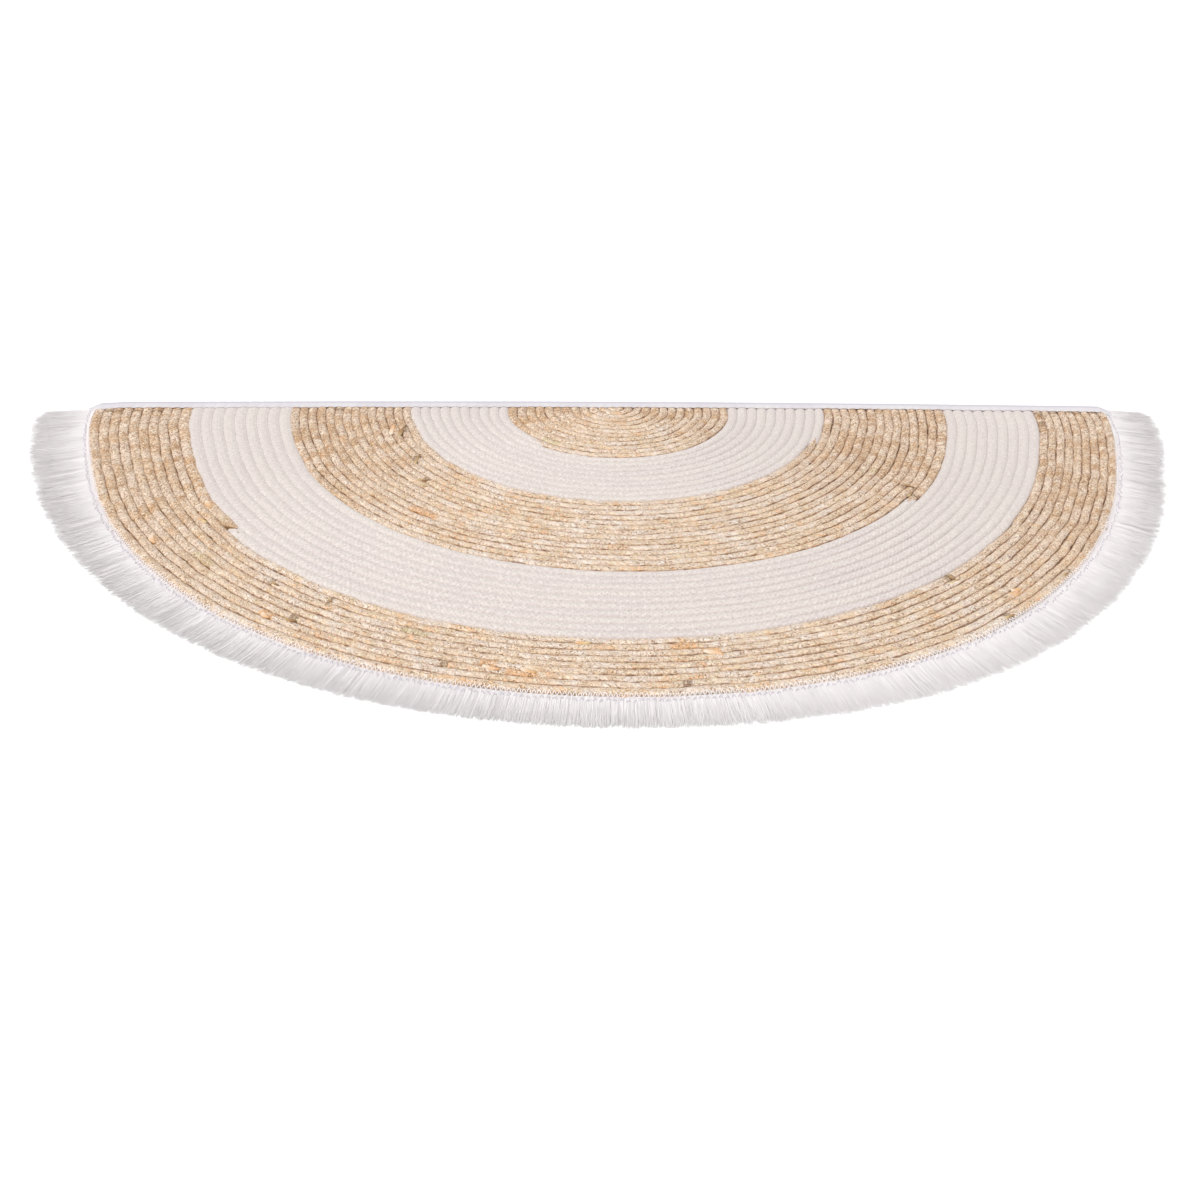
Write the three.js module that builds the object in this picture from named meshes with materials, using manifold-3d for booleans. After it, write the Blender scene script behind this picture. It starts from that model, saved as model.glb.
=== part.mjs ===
// A half-round floor rug of one thick cord, wound into a flat spiral and cut in half.
// The cord is maize straw and white cotton by turns, in five half-ring bands.
// A white tape is folded over the straight cut edge, and a white fringe is sewn round the curve.
// Millimetres, +Z up. The rug lies on Z = 0 with its curve towards -Y and its straight edge towards +Y.
// Angles run round the spiral's centre: 0 at the right end, 90 at the front, 180 at the left end.

import * as THREE from 'three';
import Module from 'manifold-3d';

const clearance = 0.3;
const cordHeight = 8;
const grooveHeight = 5.9;
const crownShare = 0.46;
const strawLump = 0.3;
const strawWander = 0.5;
const columnStep = 6;
const rowsPerCord = 3;

const tapeThickness = 1.1;
const tapeBevel = 0.8;

const headingWidth = 6.5;
const headingInnerHeight = 5.2;
const headingOuterHeight = 3;
const strandCount = 240;
const strandRootShare = 0.82;
const strandTipWidth = 4.6;
const strandTipHeight = 1.5;
const strandRagged = 6;
const strandLean = 3;
const strandStray = 1;
const fringeStart = -0.2;
const fringeEnd = 179.6;

// Radius of the outside line of each band and of the fringe's tips, by angle.
const outline = [
  { angle: 0, centre: 124, cottonIn: 221, middle: 353.5, cottonOut: 466, rim: 546, tips: 600 },
  { angle: 15, centre: 124.5, cottonIn: 219, middle: 349.5, cottonOut: 455.5, rim: 533.5, tips: 581 },
  { angle: 30, centre: 124.5, cottonIn: 220, middle: 350.5, cottonOut: 453.5, rim: 532.5, tips: 577 },
  { angle: 60, centre: 125, cottonIn: 221, middle: 354, cottonOut: 459, rim: 542, tips: 583 },
  { angle: 90, centre: 125.5, cottonIn: 221.5, middle: 354, cottonOut: 462.5, rim: 541, tips: 575 },
  { angle: 120, centre: 127, cottonIn: 221.5, middle: 354, cottonOut: 465.5, rim: 548, tips: 584 },
  { angle: 150, centre: 129, cottonIn: 222, middle: 353, cottonOut: 465.5, rim: 552, tips: 597 },
  { angle: 165, centre: 130.5, cottonIn: 223, middle: 353, cottonOut: 467, rim: 556, tips: 611 },
  { angle: 180, centre: 130, cottonIn: 227, middle: 357, cottonOut: 477, rim: 571, tips: 631 },
];

// Front and back edge of the folded tape along the slightly bowed straight edge.
const straightEdge = [
  { x: -569, front: -12, back: 2.2 },
  { x: -540, front: -9, back: 5 },
  { x: -300, front: -4.5, back: 9 },
  { x: -100, front: -2, back: 11 },
  { x: 100, front: -2, back: 11 },
  { x: 300, front: -3.5, back: 9 },
  { x: 530, front: -8, back: 4.5 },
  { x: 543, front: -10, back: 2.2 },
];

const bands = [
  { name: 'straw_centre', line: 'centre', cords: 13, straw: true, coarse: true },
  { name: 'cotton_inner', line: 'cottonIn', cords: 9, straw: false, coarse: false },
  { name: 'straw_middle', line: 'middle', cords: 14, straw: true, coarse: false },
  { name: 'cotton_outer', line: 'cottonOut', cords: 10, straw: false, coarse: false },
  { name: 'straw_outer', line: 'rim', cords: 9, straw: true, coarse: false },
];

// The turns in which straw meets cotton part of the way round, counted from the centre.
const joins = [
  { cord: 12, angle: 130, before: 'straw_centre', after: 'cotton_inner' },
  { cord: 22, angle: 23.6, before: 'cotton_inner', after: 'straw_middle' },
  { cord: 36, angle: 37, before: 'straw_middle', after: 'cotton_outer' },
  { cord: 45, angle: 143, before: 'cotton_outer', after: 'straw_outer' },
];

const materials = {
  straw: new THREE.MeshStandardMaterial({ color: 0xd9bd94, roughness: 0.8, metalness: 0 }),
  cotton: new THREE.MeshStandardMaterial({ color: 0xe9e0d6, roughness: 0.95, metalness: 0 }),
  tape: new THREE.MeshStandardMaterial({ color: 0xe6e1e6, roughness: 0.9, metalness: 0 }),
  fringe: new THREE.MeshStandardMaterial({ color: 0xf0f1f3, roughness: 0.9, metalness: 0 }),
};

const wasm = await Module();
wasm.setup();

const outlineNames = Object.keys(outline[0]).slice(1);
const outlineCurve = new THREE.CubicInterpolant(
  outline.map((row) => row.angle),
  outline.flatMap((row) => outlineNames.map((name) => row[name])),
  outlineNames.length,
);
const edgeLine = new THREE.LinearInterpolant(
  straightEdge.map((row) => row.x),
  straightEdge.flatMap((row) => [row.front, row.back]),
  2,
);

function outlineRadius(name, angle) {
  return outlineCurve.evaluate(angle)[outlineNames.indexOf(name)];
}

function cutEdgeY(x) {
  return edgeLine.evaluate(x)[1] - tapeThickness - clearance;
}

// Radius of the groove inside a cord, counted from the centre, or of the rim past the last cord.
function grooveRadius(cord, angle) {
  let inner = 0;
  let firstCord = 0;
  for (const band of bands) {
    const outer = outlineRadius(band.line, angle);
    if (cord <= firstCord + band.cords) {
      return THREE.MathUtils.lerp(inner, outer, (cord - firstCord) / band.cords);
    }
    inner = outer;
    firstCord += band.cords;
  }
  return inner;
}

function bandOfCord(cord, angle) {
  const join = joins.find((entry) => entry.cord === cord);
  if (join) {
    return angle < join.angle ? join.before : join.after;
  }
  let lastCord = 0;
  return bands.find((band) => {
    lastCord += band.cords;
    return cord < lastCord;
  }).name;
}

// Angles of the rug's points, with the joins in place of their nearest multiple of the step.
function columnAngles() {
  const count = 180 / columnStep;
  const angles = Array.from({ length: count + 1 }, (_, i) => i * columnStep);
  for (const join of joins) {
    angles[Math.round(join.angle / columnStep)] = join.angle;
  }
  return angles;
}

function plan(radius, angle) {
  const turn = THREE.MathUtils.degToRad(angle);
  return { x: radius * Math.cos(turn), y: -radius * Math.sin(turn) };
}

// Points seen from above, each kept once, with the height of the top face over it.
class Sheet {
  constructor() {
    this.points = [];
    this.lookup = new Map();
    this.topFaces = [];
    this.floorFaces = [];
  }

  point(x, y, height) {
    const key = `${x.toFixed(3)} ${y.toFixed(3)}`;
    if (!this.lookup.has(key)) {
      this.lookup.set(key, this.points.length);
      this.points.push({ x, y, height });
    }
    return this.lookup.get(key);
  }

  addFace(faces, a, b, c) {
    if (a !== b && b !== c && c !== a) {
      faces.push([a, b, c]);
    }
  }

  addQuad(faces, a, b, c, d) {
    this.addFace(faces, a, b, c);
    this.addFace(faces, a, c, d);
  }

  // Faces between two chains of points that run side by side, the second to the left of the first.
  addStrip(faces, right, left) {
    let r = 0;
    let l = 0;
    while (r < right.length - 1 || l < left.length - 1) {
      const stepRight = r < right.length - 1 ? this.distance(right[r + 1], left[l]) : Infinity;
      const stepLeft = l < left.length - 1 ? this.distance(right[r], left[l + 1]) : Infinity;
      if (stepRight <= stepLeft) {
        this.addFace(faces, right[r], right[r + 1], left[l]);
        r += 1;
      } else {
        this.addFace(faces, right[r], left[l + 1], left[l]);
        l += 1;
      }
    }
  }

  distance(a, b) {
    return Math.hypot(this.points[a].x - this.points[b].x, this.points[a].y - this.points[b].y);
  }

  // Edges of the top faces with a face on one side only, in the order of that face.
  rimEdges() {
    const edges = new Map();
    for (const [a, b, c] of this.topFaces) {
      for (const [from, to] of [[a, b], [b, c], [c, a]]) {
        edges.set(`${from} ${to}`, [from, to]);
      }
    }
    return [...edges.values()].filter(([from, to]) => !edges.has(`${to} ${from}`));
  }

  // The closed solid between the top faces and the floor.
  solid() {
    const count = this.points.length;
    const positions = [
      ...this.points.flatMap(({ x, y, height }) => [x, y, height]),
      ...this.points.flatMap(({ x, y }) => [x, y, 0]),
    ];
    const index = this.topFaces.flat();
    for (const [a, b, c] of this.floorFaces) {
      index.push(a + count, c + count, b + count);
    }
    for (const [from, to] of this.rimEdges()) {
      index.push(from + count, to + count, to);
      index.push(from + count, to, from);
    }
    return closedGeometry(positions, index);
  }
}

// An indexed geometry of the points that its faces use.
function closedGeometry(positions, index) {
  const renumbered = new Map();
  const kept = [];
  const newIndex = index.map((old) => {
    if (!renumbered.has(old)) {
      renumbered.set(old, renumbered.size);
      kept.push(...positions.slice(3 * old, 3 * old + 3));
    }
    return renumbered.get(old);
  });
  const geometry = new THREE.BufferGeometry();
  geometry.setAttribute('position', new THREE.Float32BufferAttribute(kept, 3));
  geometry.setIndex(newIndex);
  return geometry;
}

function toManifold(geometry) {
  return new wasm.Manifold(new wasm.Mesh({
    numProp: 3,
    vertProperties: new Float32Array(geometry.attributes.position.array),
    triVerts: new Uint32Array(geometry.index.array),
  }));
}

function fromManifold(manifold) {
  const mesh = manifold.getMesh();
  const geometry = new THREE.BufferGeometry();
  geometry.setAttribute('position', new THREE.BufferAttribute(mesh.vertProperties, 3));
  geometry.setIndex(new THREE.BufferAttribute(mesh.triVerts, 1));
  return geometry;
}

// A band's points: a column for each angle, and one more where the cords run straight on past
// the centre line to the cut edge. Each cord has three rows: groove, shoulder, shoulder.
function bandSolid(band) {
  const fineAngles = columnAngles();
  const angles = band.coarse ? fineAngles.filter((_, i) => i % 2 === 0) : fineAngles;
  const columns = [
    { angle: 0, cut: true },
    ...angles.map((angle) => ({ angle, cut: false })),
    { angle: 180, cut: true },
  ];
  const cordCount = bands.reduce((sum, entry) => sum + entry.cords, 0);
  const rowCount = rowsPerCord * cordCount;
  const isWhole = (row, column) => row >= 0 && row < rowCount && column >= 0 && column < columns.length - 1
    && bandOfCord(
      Math.floor(row / rowsPerCord),
      (columns[column].angle + columns[column + 1].angle) / 2,
    ) === band.name;

  // Half the clearance, drawn back from the sides where the band has no cord.
  const drawBack = (row, column) => {
    let outward = 0;
    let onward = 0;
    for (const [rowSide, columnSide] of [[-1, -1], [-1, 1], [1, -1], [1, 1]]) {
      const touches = isWhole(row + (rowSide - 1) / 2, column + (columnSide - 1) / 2);
      outward -= touches ? 0 : rowSide;
      onward -= touches ? 0 : columnSide;
    }
    return { outward: Math.sign(outward) * clearance / 2, onward: Math.sign(onward) * clearance / 2 };
  };

  const sheet = new Sheet();
  const gridPoint = (row, column) => {
    const { angle, cut } = columns[column];
    const cord = Math.floor(row / rowsPerCord);
    const rowInCord = row % rowsPerCord;
    const onGroove = rowInCord === 0;
    const inside = grooveRadius(cord, angle);
    const outside = onGroove ? inside : grooveRadius(cord + 1, angle);
    const share = (1 + (rowInCord === 1 ? -1 : 1) * crownShare) / 2;
    let radius = onGroove ? inside : THREE.MathUtils.lerp(inside, outside, share);
    let height = onGroove && row > 0 ? grooveHeight : cordHeight;
    const { outward, onward } = drawBack(row, column);
    if (row > 0) {
      radius += outward;
    }
    if (band.straw && !onGroove) {
      const chance = THREE.MathUtils.seededRandom(1 + cord * columns.length + column);
      radius += (chance - 0.5) * strawWander;
      height -= chance * strawLump;
    }
    const turned = cut || row === 0 ? angle : angle + THREE.MathUtils.radToDeg(onward / radius);
    const { x, y } = plan(radius, turned);
    return sheet.point(x, cut ? cutEdgeY(x) : y, height);
  };

  const everyRow = Array.from({ length: rowCount }, (_, row) => row);
  const rowsAt = (column) => everyRow.filter((row) => isWhole(row, column));
  for (let column = 0; column < columns.length - 1; column += 1) {
    for (const row of rowsAt(column)) {
      sheet.addQuad(
        sheet.topFaces,
        gridPoint(row, column),
        gridPoint(row, column + 1),
        gridPoint(row + 1, column + 1),
        gridPoint(row + 1, column),
      );
    }
  }

  // The flat underside needs only the points on the band's rim.
  const onRim = new Set(sheet.rimEdges().flat());
  for (let column = 0; column < columns.length - 1; column += 1) {
    const rows = rowsAt(column);
    const first = rows[0];
    const last = rows[rows.length - 1] + 1;
    const chain = (at) => Array.from({ length: last - first + 1 }, (_, i) => gridPoint(first + i, at))
      .filter((point, i) => i === 0 || i === last - first || onRim.has(point));
    sheet.addStrip(sheet.floorFaces, chain(column + 1), chain(column));
  }
  return sheet.solid();
}

// A sweep of a closed outline, counter-clockwise as seen from +X, through stations along X.
function sweepAlongEdge(stations, outlineAt) {
  const sections = stations.map((row) => outlineAt(row).map(([y, z]) => [row.x, y, z]));
  const size = sections[0].length;
  const positions = sections.flat(2);
  const index = [];
  for (let station = 0; station < sections.length - 1; station += 1) {
    for (let i = 0; i < size; i += 1) {
      const a = station * size + i;
      const b = station * size + (i + 1) % size;
      index.push(a, b, a + size);
      index.push(b, b + size, a + size);
    }
  }
  const flat = outlineAt(stations[0]).map(([y, z]) => new THREE.Vector2(y, z));
  const lastStation = (sections.length - 1) * size;
  for (const [a, b, c] of THREE.ShapeUtils.triangulateShape(flat, [])) {
    index.push(a, c, b);
    index.push(a + lastStation, b + lastStation, c + lastStation);
  }
  return closedGeometry(positions, index);
}

// The tape lies under the cut ends of the cords, up behind them and back over them.
function tapeSolid() {
  const top = cordHeight + clearance + tapeThickness;
  const inner = tapeThickness;
  return sweepAlongEdge(straightEdge, ({ front, back }) => [
    [front, 0],
    [back - tapeBevel, 0],
    [back, tapeBevel],
    [back, top - tapeBevel],
    [back - tapeBevel, top],
    [front, top],
    [front, top - inner],
    [back - inner, top - inner],
    [back - inner, inner],
    [front, inner],
  ]);
}

// The room that the tape's lower leaf takes from the cords' underside.
function tapePocket() {
  const roof = tapeThickness + clearance;
  const past = 4;
  const first = straightEdge[0];
  const last = straightEdge[straightEdge.length - 1];
  const stations = [{ ...first, x: first.x - past }, ...straightEdge, { ...last, x: last.x + past }];
  return toManifold(sweepAlongEdge(stations, ({ front, back }) => [
    [front - clearance, -past],
    [back + past, -past],
    [back + past, roof],
    [front - clearance, roof],
  ]));
}

// A sewn heading outside the last cord, with tapered strands that lie on the floor.
function fringeSolid() {
  const sheet = new Sheet();
  const pitch = (fringeEnd - fringeStart) / strandCount;
  const insideRadius = (angle) => outlineRadius('rim', angle) + clearance / 2;
  const headingAngles = [fringeStart, ...columnAngles(), fringeEnd]
    .filter((angle) => angle >= fringeStart && angle <= fringeEnd)
    .sort((a, b) => a - b);
  const inside = headingAngles.map((angle) => {
    const { x, y } = plan(insideRadius(angle), angle);
    return sheet.point(x, y, headingInnerHeight);
  });
  const outside = [];
  for (let i = 0; i < strandCount; i += 1) {
    const middle = fringeStart + (i + 0.5) * pitch;
    const rootRadius = insideRadius(middle) + headingWidth;
    const tipRadius = outlineRadius('tips', middle) - strandRagged * THREE.MathUtils.seededRandom(i + 1);
    const stray = strandStray * (THREE.MathUtils.seededRandom(i + 1001) - 0.5);
    const drift = strandLean * Math.sin(i / 5) + stray;
    const corner = (radius, angle, across, height) => {
      const turn = THREE.MathUtils.radToDeg(across / radius);
      const { x, y } = plan(radius, angle + turn);
      return sheet.point(x, y, height);
    };
    const halfRoot = THREE.MathUtils.degToRad(pitch) * rootRadius * strandRootShare / 2;
    const rootBefore = corner(rootRadius, middle, -halfRoot, headingOuterHeight);
    const rootAfter = corner(rootRadius, middle, halfRoot, headingOuterHeight);
    const tipBefore = corner(tipRadius, middle, drift - strandTipWidth / 2, strandTipHeight);
    const tipAfter = corner(tipRadius, middle, drift + strandTipWidth / 2, strandTipHeight);
    outside.push(rootBefore, rootAfter);
    sheet.addQuad(sheet.topFaces, rootBefore, rootAfter, tipAfter, tipBefore);
  }
  sheet.addStrip(sheet.topFaces, inside, outside);
  sheet.floorFaces = sheet.topFaces;
  return sheet.solid();
}

function piece(name, geometry, material) {
  const mesh = new THREE.Mesh(geometry, material);
  mesh.name = name;
  return mesh;
}

function buildRug() {
  const rug = new THREE.Group();
  const pocket = tapePocket();
  for (const band of bands) {
    const cords = toManifold(bandSolid(band)).subtract(pocket);
    rug.add(piece(band.name, fromManifold(cords), band.straw ? materials.straw : materials.cotton));
  }
  rug.add(piece('edge_binding', tapeSolid(), materials.tape));
  rug.add(piece('fringe', fringeSolid(), materials.fringe));
  const middle = new THREE.Box3().setFromObject(rug).getCenter(new THREE.Vector3());
  rug.position.set(-middle.x, -middle.y, 0);
  return rug;
}

const rug = buildRug();

export default rug;
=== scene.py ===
import math

import bpy
import numpy as np
from mathutils import Matrix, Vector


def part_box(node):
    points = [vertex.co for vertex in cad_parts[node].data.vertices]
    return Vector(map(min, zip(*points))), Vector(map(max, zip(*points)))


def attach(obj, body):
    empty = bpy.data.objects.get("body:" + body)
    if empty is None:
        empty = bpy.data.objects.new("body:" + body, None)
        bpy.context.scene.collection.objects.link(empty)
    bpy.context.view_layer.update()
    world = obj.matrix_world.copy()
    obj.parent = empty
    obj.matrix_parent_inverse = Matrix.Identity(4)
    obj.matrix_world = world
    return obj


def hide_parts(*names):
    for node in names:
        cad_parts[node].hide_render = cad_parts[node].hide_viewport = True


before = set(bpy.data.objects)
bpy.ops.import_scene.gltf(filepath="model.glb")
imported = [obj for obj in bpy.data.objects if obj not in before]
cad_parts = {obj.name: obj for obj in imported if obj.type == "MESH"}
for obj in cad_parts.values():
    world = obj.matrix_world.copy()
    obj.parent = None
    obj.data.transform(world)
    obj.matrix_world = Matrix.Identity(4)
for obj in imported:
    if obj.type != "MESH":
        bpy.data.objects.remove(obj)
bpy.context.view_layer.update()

MM = 0.001
SEED = 7
FRONT, LEFT_END = 90.0, 180.0

LINE_ANGLES = np.array((0, 15, 30, 60, 90, 120, 150, 165, 180), float)
LINES = {
    "centre": (124, 124.5, 124.5, 125, 125.5, 127, 129, 130.5, 130),
    "cotton_inner": (221, 219, 220, 221, 221.5, 221.5, 222, 223, 227),
    "middle": (353.5, 349.5, 350.5, 354, 354, 354, 353, 353, 357),
    "cotton_outer": (466, 455.5, 453.5, 459, 462.5, 465.5, 465.5, 467, 477),
    "rim": (546, 533.5, 532.5, 542, 541, 548, 552, 556, 571),
    "tips": (600, 581, 577, 583, 575, 584, 597, 611, 631),
}
EDGE_X = (-569, -540, -300, -100, 100, 300, 530, 543)
EDGE_BACK = (2.2, 5, 9, 11, 11, 9, 4.5, 2.2)

# The tape with its tails: along the edge, its front and back sides and its share of full height.
TAPE_X = (-583, -575, -567, -540, -300, -100, 100, 300, 530, 541, 548, 556)
TAPE_FRONT = (-8, -10, -12, -9, -4.5, -2, -2, -3.5, -8, -9, -10.5, -12)
TAPE_BACK = (-2, 0.5, 1.8, 4.8, 9, 11, 11, 9, 4.8, 4.2, 2.6, -1)
TAPE_HEIGHT = (0.3, 0.6, 0.94, 1, 1, 1, 1, 1, 1, 1, 0.8, 0.4)

BANDS = (
    ("straw_centre", "centre", 13),
    ("cotton_inner", "cotton_inner", 9),
    ("straw_middle", "middle", 14),
    ("cotton_outer", "cotton_outer", 10),
    ("straw_outer", "rim", 9),
)
# Cord, angle, band before the angle and band beyond it, where husk meets cotton part way round.
JOINS = (
    (12, 130, "straw_centre", "cotton_inner"),
    (22, 23.6, "cotton_inner", "straw_middle"),
    (36, 37, "straw_middle", "cotton_outer"),
    (45, 143, "cotton_outer", "straw_outer"),
)
# Coloured places in the husk, by kind: the cord, angle and length of each.
PATCHES = {
    "rust": (
        (52, 145.6, 14), (45, 150.2, 12), (52, 125.9, 16), (33, 158.5, 20),
        (24, 166.5, 22), (30, 163.5, 20), (27, 172.5, 22), (31, 169.5, 18),
        (26, 158.0, 16), (50, 152.5, 16), (53, 150.5, 14), (31, 128.3, 34),
        (51, 103.6, 14), (52, 100.2, 26), (48, 82.8, 16), (47, 85.2, 24),
        (52, 49.2, 12), (26, 22.0, 30), (34, 27.5, 26),
    ),
    "moss": (
        (50, 139.0, 30), (34, 145.4, 16), (11, 129.3, 22), (45, 146.0, 16),
        (30, 31.0, 16), (48, 112.0, 26),
    ),
    # Dark flecks; those within 5° of the cut ends are painted shadow under the tape's lip.
    "flecks_and_lip_shadow": (
        (23, 164.7, 9), (24, 148.6, 7), (26, 137.9, 9), (48, 130.2, 6),
        (47, 122.7, 5), (51, 123.6, 9), (34, 33.8, 8), (36, 36.0, 8),
        (46, 52.0, 12), (54, 53.2, 8), (53, 1.2, 5), (51, 1.4, 6),
        (50, 1.2, 5), (48, 1.3, 6), (46, 1.5, 7), (53, 178.3, 7),
        (52, 178.2, 6), (50, 178.3, 5), (48, 178.2, 7), (30, 178.0, 6),
        (54, 41.7, 6), (46, 4.8, 14), (53, 85.9, 9), (52, 107.2, 8),
    ),
}
# Loose ends of husk leaf: cord and angle where each starts and where it points to, its width and
# lift, and its shade from 0 dark to 1 pale.
HUSK_ENDS = (
    (46.2, 144.6, 45.4, 142.3, 2.4, 0.4, 0.08),
    (24.5, 161.8, 23.1, 167.5, 6, 0.9, 0.12),
    (25.2, 163.1, 24.4, 168.7, 6, 0.5, 0.8),
    (25.5, 145.7, 24.0, 149.6, 4.5, 0.9, 0.2),
    (27.2, 139.0, 26.4, 136.8, 3.6, 0.8, 0.15),
    (27.5, 137.1, 27.6, 134.7, 3, 0.5, 0.3),
    (45.7, 151.1, 45.7, 149.0, 6, 0.4, 0.78),
    (52.6, 146.5, 52.9, 144.6, 6, 0.4, 0.8),
    (48.5, 130.1, 48.6, 128.8, 3, 0.7, 0.15),
    (52.7, 126.5, 53.1, 125.3, 6, 0.6, 0.8),
    (52.3, 124.1, 52.1, 122.8, 4.5, 0.8, 0.15),
    (47.3, 123.1, 47.9, 122.3, 3, 0.7, 0.25),
    (47.4, 147.5, 47.3, 145.7, 6, 0.4, 0.6),
    (52.1, 103.9, 52.4, 102.2, 6.5, 0.7, 0.8),
    (51.9, 100.5, 52.4, 99.0, 6, 0.5, 0.78),
    (48.5, 83.4, 49.6, 81.7, 7, 0.7, 0.82),
    (46.9, 96.1, 47.1, 94.5, 5, 0.4, 0.62),
    (34.5, 32.9, 35.9, 33.7, 3.5, 0.9, 0.12),
    (36.0, 36.9, 36.1, 34.9, 3.5, 0.8, 0.2),
    (46.3, 51.6, 47.4, 52.1, 4, 0.8, 0.18),
    (47.4, 53.0, 47.6, 51.4, 3.5, 0.6, 0.3),
    (52.1, 49.2, 52.6, 48.1, 6, 0.6, 0.7),
    (54.4, 53.9, 54.8, 52.6, 4, 0.6, 0.25),
    (54.4, 43.1, 54.7, 42.2, 3.5, 0.6, 0.2),
    (46.5, 1.4, 46.6, 3.4, 4, 0.7, 0.12),
)
CORD_COUNT = sum(count for _, _, count in BANDS)
CORD_HEIGHT = 8
# The tips of cord at a join: length, how far past the join, lift and sharpness.
HUSK_TIP = (30, 12, 4.2, 0.75)
COTTON_TIP = (14, 8, -2.5, 0.5)
# A cut end stops this far inside the tape and is rounded over this length.
CUT_BACK = 1.5
CUT_ROUNDING = 2.5
# The height at which loose leaves lie on the cords.
LEAF_BED = 7.1

# The coil's centre in the frame, from the box of the tape along the cut edge.
low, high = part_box("edge_binding")
COIL = np.array((low.x - EDGE_X[0] * MM, high.y - max(EDGE_BACK) * MM))


# The measured lines of the rug.


def line_radius(line, angles):
    """Radius of a measured line at the angles, in millimetres, on a smooth curve."""
    values = np.array(LINES[line], float)
    secants = np.diff(values) / np.diff(LINE_ANGLES)
    slopes = np.concatenate(([0], (secants[1:] + secants[:-1]) / 2, [0]))
    at = np.clip(np.searchsorted(LINE_ANGLES, angles, side="right") - 1, 0, len(values) - 2)
    width = LINE_ANGLES[at + 1] - LINE_ANGLES[at]
    t = (angles - LINE_ANGLES[at]) / width
    rise = (3 - 2 * t) * t**2
    return (
        values[at] * (1 - rise)
        + values[at + 1] * rise
        + slopes[at] * width * t * (1 - t) ** 2
        - slopes[at + 1] * width * t**2 * (1 - t)
    )


def groove_radius(cord, angles):
    """Radius of the groove inside a cord, counted from the centre, in millimetres."""
    first, inner = 0, np.zeros_like(angles)
    for _, line, count in BANDS:
        outer = line_radius(line, angles)
        if cord <= first + count:
            return inner + (outer - inner) * (cord - first) / count
        first, inner = first + count, outer
    return inner


def plan(radius, angles):
    """Points seen from above, in millimetres from the coil's centre."""
    turn = np.radians(angles)
    return np.stack((radius * np.cos(turn), -radius * np.sin(turn)), axis=-1)


def band_of(cord, angle):
    """The band that a cord belongs to at an angle."""
    for joined, at, before, beyond in JOINS:
        if cord == joined:
            return before if angle < at else beyond
    last = 0
    for band, _, count in BANDS:
        last += count
        if cord < last:
            return band


def runs_of(band):
    """Each cord of a band with the angles between which it lies in that band."""
    runs = []
    for cord in range(CORD_COUNT):
        cuts = [0, *[at for joined, at, _, _ in JOINS if joined == cord], LEFT_END]
        for start, end in zip(cuts[:-1], cuts[1:]):
            if band_of(cord, (start + end) / 2) == band:
                runs.append((cord, start, end))
    return runs


def run_along(points):
    """The length from the start of a chain to each of its points."""
    return np.concatenate(([0], np.cumsum(np.linalg.norm(np.diff(points, axis=0), axis=1))))


def evenly(points, step):
    """Positions along a chain of points, as shares of its point numbers, a step apart."""
    lengths = run_along(points)
    count = max(4, round(lengths[-1] / step) + 1)
    return np.interp(np.linspace(0, lengths[-1], count), lengths, np.arange(len(points)))


def at_shares(values, shares):
    """Values between the rows of an array, at fractional row numbers."""
    rows = np.arange(len(values))
    if values.ndim == 1:
        return np.interp(shares, rows, values)
    return np.stack([np.interp(shares, rows, column) for column in values.T], axis=-1)


def cord_run(cord, start, end, step, tip):
    """One run of cord: its middle line, height, half width, taper, length run and angle. At a join
    the tip narrows over its length, reaches past the join and is lifted or tucked under."""
    tip_length, past, lift, sharpness = tip
    overlap = math.degrees(past / groove_radius(cord + 0.5, np.array([FRONT]))[0])
    first = start - (overlap if start > 0 else 0)
    last = end + (overlap if end < LEFT_END else 0)
    angles = np.linspace(first, last, 1200)
    inner, outer = groove_radius(cord, angles), groove_radius(cord + 1, angles)
    points, half = plan((inner + outer) / 2, angles), (outer - inner) / 2
    for side, at in ((0, start), (-1, end)):
        if at in (0, LEFT_END):
            place = len(points) if side else 0
            x = points[side, 0]
            cut_end = (x, np.interp(x, EDGE_X, EDGE_BACK) - CUT_BACK)
            points = np.insert(points, place, cut_end, axis=0)
            half = np.insert(half, place, half[side])
            angles = np.insert(angles, place, at)
    shares = evenly(points, step)
    points, half = at_shares(points, shares), at_shares(half, shares)
    angles = at_shares(angles, shares)
    run = run_along(points)
    starts = tip_length if start > 0 else CUT_ROUNDING
    ends = tip_length if end < LEFT_END else CUT_ROUNDING
    taper = np.clip(np.minimum(run / starts, (run[-1] - run) / ends), 0, 1)
    taper = (taper * (2 - taper)) ** sharpness
    half_way = run[-1] / 2
    at_join = (run < half_way) & (start > 0) | (run > half_way) & (end < LEFT_END)
    height = (1 - taper) * lift * at_join
    return points, height, half, taper, run, angles


def patch_share(cord, kind, run, angles):
    """How much of a coloured patch shows along a run of cord, from 0 to 1."""
    share = np.zeros(len(run))
    for patch_cord, angle, length in PATCHES[kind]:
        if patch_cord == cord and angles[0] <= angle <= angles[-1]:
            middle = np.interp(angle, angles, run)
            share = np.maximum(share, np.exp(-(((run - middle) / (length / 2)) ** 4)))
    return share


# Node trees for shapes and finishes.


def joins(operation):
    """An operator on wires and its reflected form, for the Math node of this operation."""
    return (
        lambda wire, other: wire.join(operation, wire, other),
        lambda wire, other: wire.join(operation, other, wire),
    )


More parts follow.
